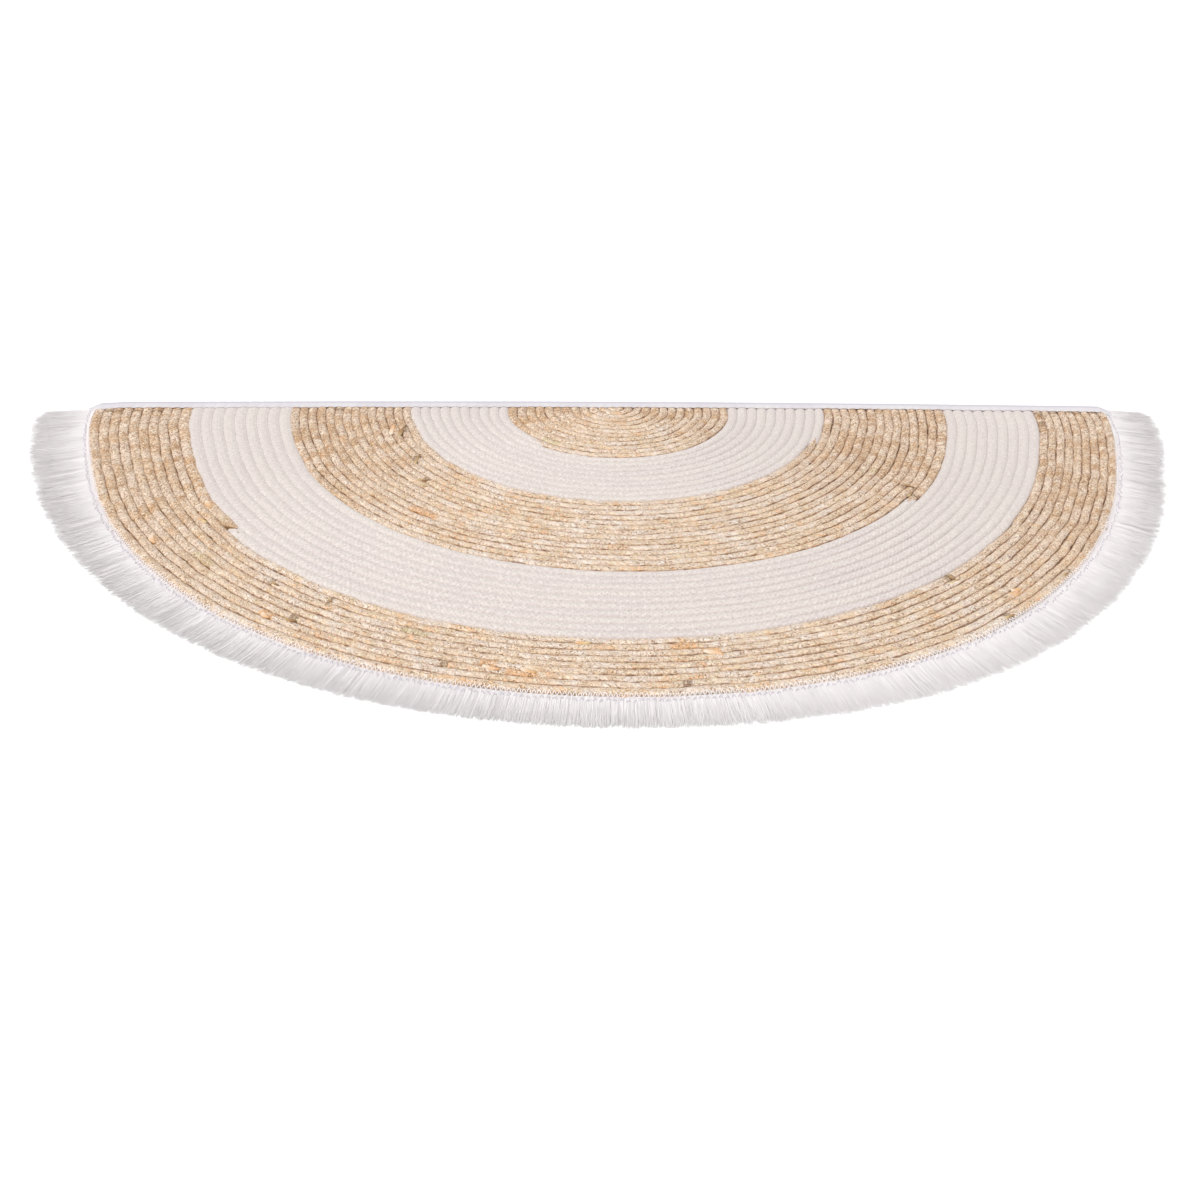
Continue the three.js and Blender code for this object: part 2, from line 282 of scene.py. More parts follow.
class Wire:
    """One output of a node tree. Arithmetic on it adds Math nodes, or Vector Math for vectors."""

    def __init__(self, bench, socket):
        self.bench = bench
        self.socket = socket

    def join(self, operation, first, second):
        pair, kind = (first, second), "ShaderNodeMath"
        if any(isinstance(value, Wire) and value.socket.type == "VECTOR" for value in pair):
            pair = [value if isinstance(value, (Wire, tuple)) else (value,) * 3 for value in pair]
            kind = "ShaderNodeVectorMath"
        return self.bench.node(kind, {"operation": operation}, dict(enumerate(pair)))

    __add__, __radd__ = joins("ADD")
    __sub__, __rsub__ = joins("SUBTRACT")
    __mul__, __rmul__ = joins("MULTIPLY")
    __truediv__, __rtruediv__ = joins("DIVIDE")
    __pow__, __rpow__ = joins("POWER")


class Bench:
    """Adds nodes to one tree."""

    def __init__(self, tree):
        self.tree = tree

    def node(self, kind, settings=(), sockets=(), out=0):
        """Makes a node: its settings first, then the values or wires of its sockets."""
        made = self.tree.nodes.new(kind)
        for name, value in dict(settings).items():
            if name == "stops":
                self.set_stops(made.color_ramp, value)
            else:
                setattr(made, name, value)
        for name, value in dict(sockets).items():
            if isinstance(value, Wire):
                self.tree.links.new(value.socket, made.inputs[name])
            else:
                made.inputs[name].default_value = value
        return Wire(self, made.outputs[out]) if len(made.outputs) else made

    def set_stops(self, ramp, stops):
        for number, (position, colour) in enumerate(stops):
            stop = ramp.elements[number] if number < 2 else ramp.elements.new(position)
            stop.position = position
            stop.color = colour

    def math(self, operation, *values):
        return self.node("ShaderNodeMath", {"operation": operation}, dict(enumerate(values)))

    def vector(self, x=0, y=0, z=0):
        return self.node("ShaderNodeCombineXYZ", (), {"X": x, "Y": y, "Z": z})

    def parts(self, vector):
        split = self.node("ShaderNodeSeparateXYZ", (), {"Vector": vector})
        return [Wire(self, socket) for socket in split.socket.node.outputs]

    def noise(self, vector, scale=1, detail=2, rough=0.5, out=0):
        sockets = {"Vector": vector, "Scale": scale, "Detail": detail, "Roughness": rough}
        return self.node("ShaderNodeTexNoise", (), sockets, out)

    def grain(self, x, y, z, detail=2, rough=0.5):
        """Noise that may be drawn out more one way than another."""
        return self.noise(self.vector(x, y, z), 1, detail, rough)

    def smooth(self, value, start, end, low=0.0, high=1.0):
        """Rises smoothly from low to high as value goes from start to end."""
        return self.node(
            "ShaderNodeMapRange",
            {"interpolation_type": "SMOOTHSTEP"},
            {"Value": value, "From Min": start, "From Max": end, "To Min": low, "To Max": high},
        )

    def mix(self, factor, first, second):
        sockets = {0: factor, 6: first, 7: second}
        return self.node("ShaderNodeMix", {"data_type": "RGBA"}, sockets, 2)

    def coats(self, hue, *layers):
        """Lays colours over a hue in turn, each through its mask."""
        for mask, colour in layers:
            hue = self.mix(mask, hue, colour)
        return hue

    def ramp(self, factor, stops):
        return self.node("ShaderNodeValToRGB", {"stops": stops}, {"Fac": factor})

    def place(self):
        return self.node("ShaderNodeTexCoord", (), (), "Object")

    def unrolled(self, name):
        """The parts of a UV map that a cord carries."""
        return self.parts(self.node("ShaderNodeUVMap", {"uv_map": name}))

    def painted(self, name):
        """A value between 0 and 1 that a piece carries at its points."""
        return self.node("ShaderNodeAttribute", {"attribute_name": name}, (), "Fac")

    def sway(self, vector, detail, rough):
        """A random lean to any side, level with the floor, that drifts with the vector."""
        field = self.noise(vector, 1, detail, rough, 1)
        middle = {0: field, 1: (0.5,) * 3}
        lean = self.node("ShaderNodeVectorMath", {"operation": "SUBTRACT"}, middle)
        return lean * self.vector(1, 1, 0)

    def moved(self, shape, offset):
        return self.node("GeometryNodeSetPosition", (), {"Geometry": shape, "Offset": offset})

    def ring(self, sides):
        sockets = {"Resolution": sides, "Radius": 1.0}
        return self.node("GeometryNodeCurvePrimitiveCircle", (), sockets)

    def read(self, name, kind="FLOAT"):
        return self.node("GeometryNodeInputNamedAttribute", {"data_type": kind}, {"Name": name})

    def store(self, shape, name, value, kind="FLOAT", domain="POINT"):
        return self.node(
            "GeometryNodeStoreNamedAttribute",
            {"data_type": kind, "domain": domain},
            {"Geometry": shape, "Name": name, "Value": value},
        )


def new_tree(name, sizes):
    """A Geometry Nodes tree, its bench and its inputs: the path, the finish and named sizes."""
    tree = bpy.data.node_groups.new(name, "GeometryNodeTree")
    tree.interface.new_socket("Path", in_out="INPUT", socket_type="NodeSocketGeometry")
    tree.interface.new_socket("Finish", in_out="INPUT", socket_type="NodeSocketMaterial")
    for size in sizes:
        tree.interface.new_socket(size, in_out="INPUT", socket_type="NodeSocketFloat")
    tree.interface.new_socket("Piece", in_out="OUTPUT", socket_type="NodeSocketGeometry")
    bench = Bench(tree)
    entry = tree.nodes.new("NodeGroupInput")
    given = {socket.name: Wire(bench, socket) for socket in entry.outputs if socket.name}
    return tree, bench, given


def finish_tree(bench, shape, finish):
    """Ends a tree in smooth shading, real geometry and the finish."""
    shape = bench.node("GeometryNodeSetShadeSmooth", (), {"Geometry": shape})
    shape = bench.node("GeometryNodeRealizeInstances", (), {"Geometry": shape})
    shape = bench.node("GeometryNodeSetMaterial", (), {"Geometry": shape, "Material": finish})
    bench.node("NodeGroupOutput", (), {"Piece": shape})


PATH_VALUES = "along cord half_width taper middle turn outward reach level chance".split()


def in_scene(name, data):
    """An object in the scene that shows this mesh, light or camera."""
    shown = bpy.data.objects.new(name, data)
    bpy.context.scene.collection.objects.link(shown)
    return shown


def grow(name, tree, path, values):
    """Runs a tree on a path and returns what it makes as a plain mesh object."""
    piece = in_scene(name, path)
    modifier = piece.modifiers.new("grow", "NODES")
    modifier.node_group = tree
    for item in tree.interface.items_tree:
        if item.in_out == "INPUT" and item.name in values:
            modifier[item.identifier] = values[item.name]
    depsgraph = bpy.context.evaluated_depsgraph_get()
    grown = bpy.data.meshes.new_from_object(
        piece.evaluated_get(depsgraph), preserve_all_data_layers=True, depsgraph=depsgraph
    )
    piece.modifiers.clear()
    piece.data = grown
    for label in PATH_VALUES:
        if label in grown.attributes:
            grown.attributes.remove(grown.attributes[label])
    return piece


def path_mesh(name, chains, values):
    """A mesh of open chains of points in the frame, with a named value at each point."""
    points = np.concatenate(chains)
    edges, first = [], 0
    for chain in chains:
        numbers = np.arange(first, first + len(chain))
        edges.append(np.stack((numbers[:-1], numbers[1:]), axis=-1))
        first += len(chain)
    mesh = bpy.data.meshes.new(name)
    mesh.from_pydata(points.tolist(), np.concatenate(edges).tolist(), [])
    for label, rows in values.items():
        rows = np.concatenate(rows)
        kind, field = ("FLOAT", "value") if rows.ndim == 1 else ("FLOAT_VECTOR", "vector")
        attribute = mesh.attributes.new(label, kind, "POINT")
        attribute.data.foreach_set(field, rows.astype(np.float32).ravel())
    return mesh


def in_frame(points, height):
    """Points in millimetres from the coil's centre, as points of the frame."""
    flat = points * MM + COIL
    heights = np.broadcast_to(np.asarray(height, float) * MM, len(points))
    return np.column_stack((flat, heights))


# Shapes that follow a path.

# The way round a cord, and the husk leaves that wrap it.
AROUND = 28 * MM
LEAF_LENGTH = 18 * MM
LEAVES_AROUND = 2.2


def husk_leaves(bench, along, turn, cord):
    """The husk leaves that wrap a cord, as cells: a cell's chances and the distance to its edge."""
    warp = bench.noise(bench.vector(along * 90, turn * 5, cord), 1, 2, 0.6, 1)
    warp_along, warp_round, _ = bench.parts(warp)
    length = along / LEAF_LENGTH - turn * 1.6 + cord * 13.7 + (warp_along - 0.5) * 1.1
    place = bench.vector(length, turn * LEAVES_AROUND + (warp_round - 0.5) * 1.1, 0)
    flat = {"voronoi_dimensions": "2D", "feature": "F1"}
    chances = bench.node("ShaderNodeTexVoronoi", flat, {"Vector": place}, 1)
    rim = {"voronoi_dimensions": "2D", "feature": "DISTANCE_TO_EDGE"}
    edge = bench.node("ShaderNodeTexVoronoi", rim, {"Vector": place}, 0)
    return bench.parts(chances), edge


def cord_tree():
    """Sweeps a soft, slightly flattened cord along each chain, with husk leaves in relief."""
    sizes = ("Sides", "Half Height", "Wander", "Wander Length", "Lump", "Lump Length")
    tree, bench, given = new_tree("coiled_cord", (*sizes, "Leaf", "Fullness", "Seed"))
    along, cord = bench.read("along"), bench.read("cord")
    half_width, taper = bench.read("half_width"), bench.read("taper")

    place = bench.node("GeometryNodeInputPosition")
    sway = bench.sway(place / given["Wander Length"] + given["Seed"], 1, 0.5)
    path = bench.moved(given["Path"], sway * given["Wander"])
    path = bench.store(path, "middle", place, "FLOAT_VECTOR")
    path = bench.node("GeometryNodeMeshToCurve", (), {"Mesh": path})
    path = bench.node("GeometryNodeSetCurveNormal", {"mode": "Z_UP"}, {"Curve": path})

    ring = bench.node(
        "GeometryNodeCurveArc",
        (),
        {"Resolution": given["Sides"] + 1, "Start Angle": math.pi / 2, "Sweep Angle": 2 * math.pi},
    )
    turn = bench.node("GeometryNodeSplineParameter")
    ring = bench.store(ring, "turn", turn)
    tube = bench.node("GeometryNodeCurveToMesh", (), {"Curve": path, "Profile Curve": ring})

    turn, middle = bench.read("turn"), bench.read("middle", "FLOAT_VECTOR")
    place = bench.node("GeometryNodeInputPosition")
    outward = place - middle
    (thick, _, _), edge = husk_leaves(bench, along, turn, cord)
    under = bench.math("ABSOLUTE", turn - 0.5) * 2
    upper = bench.smooth(under, 0.75, 0.4)
    leaf = (thick - 0.5 - bench.smooth(edge, 0.16, 0.0) * 0.6) * given["Leaf"] * upper
    angle = turn * 2 * math.pi
    side, top = bench.math("SINE", angle) * 0.8, bench.math("COSINE", angle) * 0.8
    lumps = bench.grain(along / given["Lump Length"], cord * 5.3 + side, top)
    relief = leaf + (lumps - 0.5) * given["Lump"]
    slim = 0.93
    across = half_width * (slim + (given["Fullness"] - slim) * upper) + relief
    up = given["Half Height"] + relief * 0.5
    shape = outward * bench.vector(across, across, up) * taper
    centre = middle + bench.vector(0, 0, given["Half Height"])
    new_place = centre + shape
    x, y, z = bench.parts(new_place)
    rested = bench.vector(x, y, bench.math("MAXIMUM", z, 0))
    tube = bench.node("GeometryNodeSetPosition", (), {"Geometry": tube, "Position": rested})
    tube = bench.store(tube, "CordRun", bench.vector(along, turn * AROUND), "FLOAT2", "CORNER")
    tube = bench.store(tube, "Cord", bench.vector(cord, taper), "FLOAT2", "CORNER")
    closed = {"Geometry": tube, "Distance": 0.02 * MM}
    tube = bench.node("GeometryNodeMergeByDistance", (), closed)
    finish_tree(bench, tube, given["Finish"])
    return tree


def spin_thread(bench, line, profile, girth, finish):
    """Ends a tree in a thread along each line, closed at both ends."""
    thread = {"Curve": line, "Profile Curve": profile, "Scale": girth, "Fill Caps": True}
    finish_tree(bench, bench.node("GeometryNodeCurveToMesh", (), thread), finish)


def fringe_tree():
    """Scatters soft tapered strands along the heading, each from the rim out to the floor."""
    sizes = ("Strands", "Points", "Root Height", "Tip Height", "Thickness")
    tree, bench, given = new_tree(
        "fringe_strands", (*sizes, "Lean", "Wave", "Wave Length", "Seed")
    )
    path = bench.node("GeometryNodeMeshToCurve", (), {"Mesh": given["Path"]})
    spread = bench.node("GeometryNodeResampleCurve", (), {"Curve": path, "Count": given["Strands"]})

    def chance(low, high, number):
        sockets = {2: low, 3: high, 8: given["Seed"] * 10 + number}
        return bench.node("FunctionNodeRandomValue", {"data_type": "FLOAT"}, sockets, 1)

    place = bench.node("GeometryNodeInputPosition")
    outward = bench.read("outward", "FLOAT_VECTOR")
    reach = bench.read("reach")
    sideways = {0: (0, 0, 1), 1: outward}
    sideways = bench.node("ShaderNodeVectorMath", {"operation": "CROSS_PRODUCT"}, sideways)
    clump = bench.noise(place, 55, 2, 0.6) - 0.5
    lean = clump * given["Lean"] + chance(-0.5, 0.5, 3) * given["Lean"]
    heading = outward + sideways * lean
    short = chance(0, 1, 4)
    length = reach * (1.07 - short * 0.32 + clump * 0.12)
    turned = bench.node(
        "FunctionNodeAlignRotationToVector", {"axis": "X", "pivot_axis": "Z"}, {"Vector": heading}
    )
    spread = bench.store(spread, "level", chance(0.95, 1, 5))
    spread = bench.store(spread, "chance", chance(0, 40, 6))
    line = bench.node("GeometryNodeCurvePrimitiveLine", (), {"End": (1, 0, 0)})
    line = bench.node("GeometryNodeResampleCurve", (), {"Curve": line, "Count": given["Points"]})
    stretched = {"Rotation": turned, "Scale": bench.vector(length, 1, 1)}
    strands = {"Points": spread, "Instance": line, **stretched}
    strands = bench.node("GeometryNodeInstanceOnPoints", (), strands)
    strands = bench.node("GeometryNodeRealizeInstances", (), {"Geometry": strands})

    share = bench.node("GeometryNodeSplineParameter")
    level, own = bench.read("level"), bench.read("chance")
    place = bench.node("GeometryNodeInputPosition")
    seeded = bench.vector(own * 2, own * 3, own + given["Seed"])
    flat = bench.sway(place / given["Wave Length"] + seeded, 2, 0.6) * given["Wave"] * share
    fall = (1 - share) ** 1.6
    drop = given["Tip Height"] + (given["Root Height"] - given["Tip Height"]) * fall
    height = drop * level + given["Thickness"] * 0.3
    strands = bench.moved(strands, flat + bench.vector(0, 0, height))
    strands = bench.node("GeometryNodeSetCurveNormal", {"mode": "Z_UP"}, {"Curve": strands})
    ridge_up = {"Rotation": (0, 0, -math.pi / 2), "Scale": (0.16, 1, 1)}
    thread = bench.node("GeometryNodeTransform", (), {"Geometry": bench.ring(3), **ridge_up})
    spin_thread(bench, strands, thread, given["Thickness"] * (1 - share * 0.6), given["Finish"])
    return tree


def thread_tree():
    """Sews a thread along a path: it swings from side to side and dips into the cloth."""
    sizes = ("Stitch", "Points", "Swing", "Tilt", "Lift", "Dips", "Thickness", "Unevenness")
    tree, bench, given = new_tree("sewn_thread", sizes)
    path = bench.node("GeometryNodeMeshToCurve", (), {"Mesh": given["Path"]})
    path = bench.node(
        "GeometryNodeResampleCurve",
        {"mode": "LENGTH"},
        {"Curve": path, "Length": given["Stitch"] / given["Points"]},
    )
    number = bench.node("GeometryNodeInputIndex")
    place = bench.node("GeometryNodeInputPosition")
    share = bench.math("FRACT", number / given["Points"])
    swing = bench.math("ABSOLUTE", share - 0.5) * 4 - 1
    dip = bench.math("COSINE", share * given["Dips"] * 2 * math.pi)
    outward = bench.read("outward", "FLOAT_VECTOR")
    uneven = (bench.noise(place, 300, 1) - 0.5) * given["Unevenness"]
    sideways = swing * given["Swing"] + uneven
    rise = dip * given["Lift"] - sideways * given["Tilt"]
    offset = outward * sideways + bench.vector(0, 0, rise)
    path = bench.moved(path, offset)
    spin_thread(bench, path, bench.ring(5), given["Thickness"], given["Finish"])
    return tree


# Finishes.


def tint(red, green, blue):
    """A colour as a screen shows it, 0 to 255, as the light values that a shader takes."""
    levels = [value / 255 for value in (red, green, blue)]
    light = [v / 12.92 if v <= 0.04045 else ((v + 0.055) / 1.055) ** 2.4 for v in levels]
    return (*light, 1)


# How much the studio's light brightens a dye.
LIGHT = 1.16


def seen(red, green, blue):
    """The dye that looks like this screen colour where the studio's light falls on it."""
    return (*[min(value / LIGHT, 0.95) for value in tint(red, green, blue)[:3]], 1)


def new_finish(name, constants):
    """A material, its bench and its shader, with the values that are the same all over it."""
    material = bpy.data.materials.new(name)
    material.use_nodes = True
    shader = material.node_tree.nodes["Principled BSDF"]
    for socket, value in constants.items():
        shader.inputs[socket].default_value = value
    return material, Bench(material.node_tree), shader


def feed(bench, shader, hue, rough, height=None, depth=0):
    """Links to the shader what changes over the surface: colour, roughness and relief."""
    wires = {"Base Color": hue, "Roughness": rough}
    if height is not None:
        bump = {"Height": height, "Distance": depth}
        wires["Normal"] = bench.node("ShaderNodeBump", (), bump)
    for name, wire in wires.items():
        bench.tree.links.new(wire.socket, shader.inputs[name])


def frontness(bench):
    """1 on the cords in front of the coil's middle, falling to 0 on those at its sides; the
    finishes paint shade and light at the sides by it.
    """
    x, y, _ = bench.parts(bench.place())
    aside = bench.math("ABSOLUTE", x - float(COIL[0]))
    return bench.smooth(bench.math("ARCTAN2", aside, float(COIL[1]) - y), 1.25, 0.6)


HUSK_GLOSS = {"Specular IOR Level": 0.25, "Sheen Weight": 0.1}


def husk_finish():
    """Maize husk leaves: cream, straw, pink and peach, with fine fibres, and brown painted shade in
    the grooves between cords and along some leaf edges. Painted shadow lies along the tape's lip,
    and towards the sides painted shade makes the leaves darker, more blotched and marked than in
    front."""
    material, bench, shader = new_finish("husk", HUSK_GLOSS)
    along, round_it, _ = bench.unrolled("CordRun")
    cord, _, _ = bench.unrolled("Cord")
    turn = round_it / AROUND
    (pick, shade, fleck), edge = husk_leaves(bench, along, turn, cord)
    front = frontness(bench)
    aside = 1 - front

    drift = bench.grain(along * 26, cord * 4.1, 0, 2, 0.6)
    leaf_hue = bench.ramp(
        pick * 0.6 + bench.smooth(drift, 0.36, 0.64) * 0.7 - 0.15,
        (
            (0.0, seen(254, 242, 230)),
            (0.16, seen(253, 234, 218)),
            (0.3, seen(252, 232, 204)),
            (0.44, seen(253, 229, 214)),
            (0.58, seen(247, 222, 190)),
            (0.72, seen(253, 225, 198)),
            (0.86, seen(238, 218, 184)),
            (1.0, seen(252, 208, 168)),
        ),
    )
    ragged = (bench.grain(along * 120, round_it * 160, cord) - 0.5) * 0.8
    blotch = bench.grain(along * 42, cord * 3.7, 2, 1)

    # The fibres run along the cord, a little aslant on each leaf.
    slant = (shade - 0.5) * 1.7
    across, ahead = bench.math("COSINE", slant), bench.math("SINE", slant)
    run = along * across + round_it * ahead
    side = round_it * across - along * ahead
    fibre = bench.grain(run * 760, side * 150, cord * 2.3 + pick * 9, 3, 0.75)
    pale = bench.grain(run * 540, side * 170, cord + 7, 2, 0.6)
    marks = bench.grain(run * 150, side * 420, cord * 2.9, 2, 0.7)

    # Painted shade in the creases along some of the leaves' edges.
    crease_shade = bench.smooth(edge, 0.1, 0.03) * bench.smooth(fleck, 0.15, 0.6)
    spots = bench.grain(along * 520, round_it * 480, cord * 1.7, 2, 0.7)
    clouds = bench.grain(along * 30, cord * 3.3, 5)
    spots = bench.smooth(spots, 0.58, 0.64) * bench.smooth(clouds, 0.35, 0.55)
    # Dark flecks, and painted shadow along the tape's lip.
    flecks_and_lip_shadow = bench.smooth(bench.painted("flecks_and_lip_shadow") + ragged, 0.4, 0.7) * bench.smooth(fibre, 0.35, 0.6)

    # The last cord has no neighbour outside it, so its painted groove shade is fainter on that
    # side.
    under = bench.math("ABSOLUTE", turn - 0.5) * 2
    # Painted shade in the grooves between cords, with darker painted shadow in dashes.
    shadow_dashes = bench.grain(along * 130, cord * 6.1, 0, 2, 0.6)
    groove_shading = bench.smooth(under + (shadow_dashes - 0.5) * 0.14 + front * 0.06, 0.3, 0.37)
    outside = bench.math("GREATER_THAN", cord, CORD_COUNT - 1.5)
    groove_shading = groove_shading * (1 - outside * bench.math("LESS_THAN", turn, 0.5) * 0.7)
    hue = bench.coats(
        leaf_hue,
        (bench.smooth(bench.painted("rust") + ragged, 0.2, 0.65) * 0.9, seen(246, 192, 140)),
        (bench.smooth(bench.painted("moss") + ragged, 0.35, 0.6) * 0.7, seen(224, 208, 160)),
        # Painted shade at the sides: a darker tint there, and stronger blotches, fibres and marks.
        (aside * 0.25, seen(246, 202, 156)),
        (bench.smooth(blotch, 0.5, 0.58) * aside * 0.8, seen(222, 176, 128)),
        (bench.smooth(blotch, 0.49, 0.41) * aside * 0.85, seen(255, 232, 212)),
        (bench.smooth(fibre, 0.52, 0.6) * (0.95 - front * 0.57), seen(192, 144, 100)),
        (bench.smooth(pale, 0.52, 0.6) * 0.6, seen(255, 243, 226)),
        (bench.smooth(marks, 0.54, 0.62) * aside * 0.65, seen(170, 122, 78)),
        (bench.smooth(marks, 0.49, 0.41) * aside * 0.65, seen(255, 238, 214)),
        (crease_shade * 0.85, seen(152, 110, 70)),
        (spots * 0.85, seen(142, 100, 64)),
        (flecks_and_lip_shadow * 0.85, seen(118, 86, 54)),
        (groove_shading * (0.75 - front * 0.15), seen(182, 128, 80)),
        (groove_shading * bench.smooth(shadow_dashes, 0.48, 0.6) * (0.9 - front * 0.4), seen(120, 80, 46)),
    )
    relief = bench.smooth(edge, 0.0, 0.2) * 0.5 + fibre * 0.4 + pale * 0.1
    feed(bench, shader, hue, bench.smooth(fibre, 0.3, 0.7, 0.62, 0.85), relief, 0.6 * MM)
    return material


def husk_end_finish():
    """Loose husk ends, from dark brown through tan and olive to orange and cream."""
    material, bench, shader = new_finish("husk_ends", HUSK_GLOSS)
    fibre = bench.noise(bench.place(), 420, 3, 0.7)
    hue = bench.ramp(
        bench.painted("shade") + (fibre - 0.5) * 0.25,
        (
            (0.0, seen(116, 86, 58)),
            (0.25, seen(172, 132, 90)),
            (0.5, seen(222, 198, 150)),
            (0.65, seen(232, 206, 152)),
            (0.8, seen(234, 182, 130)),
            (1.0, seen(252, 236, 214)),
        ),
    )
    feed(bench, shader, hue, bench.smooth(fibre, 0.2, 0.8, 0.6, 0.85), fibre, 0.4 * MM)
    return material


def cotton_finish():
    """Soft braided cotton cord, off-white, with painted shade in its braid's hollows and in its
    grooves in front. At the sides painted shade greys it a little and painted light makes its
    grooves paler.
    """
    constants = {"Specular IOR Level": 0.15, "Sheen Weight": 0.2, "Sheen Roughness": 0.6}
    material, bench, shader = new_finish("cotton", constants)
    along, round_it, _ = bench.unrolled("CordRun")
    cord, _, _ = bench.unrolled("Cord")
    front = frontness(bench)
    aside = 1 - front

    strand, starts = 5.2 * MM, 7
    one_way = bench.math("SINE", (along / strand + round_it / AROUND * starts) * 2 * math.pi)
    other_way = bench.math("SINE", (along / strand - round_it / AROUND * starts) * 2 * math.pi)
    braid = bench.math("MAXIMUM", one_way, other_way) * 0.5 + 0.5
    lint = bench.grain(along * 440, round_it * 420, cord, 2, 0.6)
    tufts = bench.grain(along * 300, round_it * 320, cord * 3, 2, 0.6)
    drift = bench.grain(along * 9, cord * 2.9, 0)
    under = bench.math("ABSOLUTE", round_it / AROUND - 0.5) * 2
    groove_shading = bench.smooth(under + front * 0.08 + (tufts - 0.5) * 0.3, 0.24, 0.38)
    hue = bench.coats(
        bench.mix(bench.smooth(drift, 0.35, 0.65), seen(231, 221, 214), seen(226, 214, 210)),
        (bench.smooth(lint, 0.49, 0.61) * 0.6, seen(208, 196, 191)),
        (bench.smooth(tufts, 0.5, 0.62) * 0.6, seen(248, 239, 233)),
        # Painted shade in the hollows of the braid.
        (bench.smooth(braid, 0.75, 0.2) * 0.25, seen(212, 202, 196)),
        # Painted shade greys the sides; the grooves get painted shade in front and painted light at
        # the sides.
        (aside * 0.3, seen(218, 206, 200)),
        (groove_shading * front * 0.12, seen(200, 186, 180)),
        (groove_shading * aside * 0.7, seen(255, 250, 246)),
    )
    relief = braid * 0.4 + lint * 0.3 + tufts * 0.5
    feed(bench, shader, hue, bench.smooth(lint, 0.2, 0.8, 0.85, 0.98), relief, 1.1 * MM)
    return material


def tape_finish():
    """White cotton tape of a fine plain weave, a little lilac in the light, with lilac-grey painted
    shade along its back fold.
    """
    constants = {"Specular IOR Level": 0.15, "Sheen Weight": 0.25, "Sheen Roughness": 0.5}
    material, bench, shader = new_finish("tape", constants)
    x, y, z = bench.parts(bench.place())
    warp = bench.math("SINE", x * (2 * math.pi / (0.9 * MM)))
    weft = bench.math("SINE", (y + z) * (2 * math.pi / (0.8 * MM)))
    lint = bench.noise(bench.place(), 900, 2)
    drift = bench.noise(bench.place(), 25, 2)
    hue = bench.coats(
        bench.mix(bench.smooth(drift, 0.3, 0.7), seen(229, 225, 228), seen(222, 217, 222)),
        (bench.smooth(lint, 0.5, 0.8) * 0.3, seen(208, 202, 209)),
        # Painted shade along the back fold.
        (bench.painted("fold"), seen(196, 190, 204)),
    )
    relief = warp * weft * 0.3 + lint * 0.4
    feed(bench, shader, hue, bench.smooth(lint, 0.2, 0.8, 0.8, 0.95), relief, 0.15 * MM)
    return material


def yarn_finish():
    """Soft white fringe yarn that lets a little light through, and painted shade makes it duller at
    the sides.
    """
    constants = {
        "Specular IOR Level": 0.15,
        "Sheen Weight": 0.3,
        "Sheen Roughness": 0.5,
        "Subsurface Weight": 0.3,
        "Subsurface Radius": (1, 1, 1),
        "Subsurface Scale": 0.8 * MM,
    }
    material, bench, shader = new_finish("fringe_yarn", constants)
    drift = bench.noise(bench.place(), 60, 3)
    lint = bench.noise(bench.place(), 1100, 2)
    hue = bench.coats(
        bench.mix(bench.smooth(drift, 0.3, 0.7), tint(255, 250, 250), tint(252, 246, 247)),
        (bench.smooth(lint, 0.5, 0.8) * 0.25, tint(244, 238, 240)),
        # Painted shade at the sides.
        ((1 - frontness(bench)) * 0.3, tint(245, 238, 239)),
    )
    feed(bench, shader, hue, bench.smooth(lint, 0.2, 0.8, 0.8, 0.95), lint, 0.1 * MM)
    return material


def thread_finish():
    """Grey-lilac sewing thread."""
    material, bench, shader = new_finish("sewing_thread", {"Specular IOR Level": 0.2})
    lint = bench.noise(bench.place(), 700, 2)
    hue = bench.mix(lint, tint(222, 216, 222), tint(188, 181, 190))
    feed(bench, shader, hue, bench.smooth(lint, 0.2, 0.8, 0.6, 0.8))
    return material


# Pieces.


def wear(piece, slot, *nodes):
    """A piece of the rug rides on its one body and stands for its nodes."""
    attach(piece, "root")
    if nodes:
        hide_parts(*nodes)
    return piece


def coil_band(band, tree, finish, step, tip, crowding, sizes):
    """All the cord of one band, as one piece. Towards the left its cords may crowd together."""
    labels = ("along", "cord", "half_width", "taper", *PATCHES)
    chains, values, gone = [], {label: [] for label in labels}, 0.0
    for cord, start, end in runs_of(band):
        points, height, half, taper, run, angles = cord_run(cord, start, end, step, tip)
        chains.append(in_frame(points, height))
        for kind in PATCHES:
            values[kind].append(patch_share(cord, kind, run, angles))
        values["along"].append((run + gone) * MM)
        values["cord"].append(np.full(len(run), float(cord)))
        values["half_width"].append(half * np.interp(angles, (FRONT, 150), (1, crowding)) * MM)
        values["taper"].append(taper)
        gone += run[-1]
    path = path_mesh(f"{band}_path", chains, values)
    return grow(f"{band}_cords", tree, path, {"Finish": finish, **sizes})


def shell(stations, first=0):
    """Points and faces of a closed strip with the same number of points at each station."""
    count, size = len(stations), len(stations[0])
    numbers = np.arange(count * size).reshape(count, size) + first
    after = np.roll(numbers, -1, axis=1)
    sides = np.stack((numbers[:-1], after[:-1], after[1:], numbers[1:]), axis=-1).reshape(-1, 4)
    faces = [*sides.tolist(), numbers[0][::-1].tolist(), numbers[-1].tolist()]
    return np.concatenate(stations).tolist(), faces


def shell_piece(name, points, faces, finish, **values):
    """A smooth piece in one finish, with named values at its points."""
    mesh = bpy.data.meshes.new(name)
    mesh.from_pydata(points, [], faces)
    mesh.materials.append(finish)
    mesh.shade_smooth()
    for label, rows in values.items():
        mesh.attributes.new(label, "FLOAT", "POINT").data.foreach_set("value", rows)
    return in_scene(name, mesh)


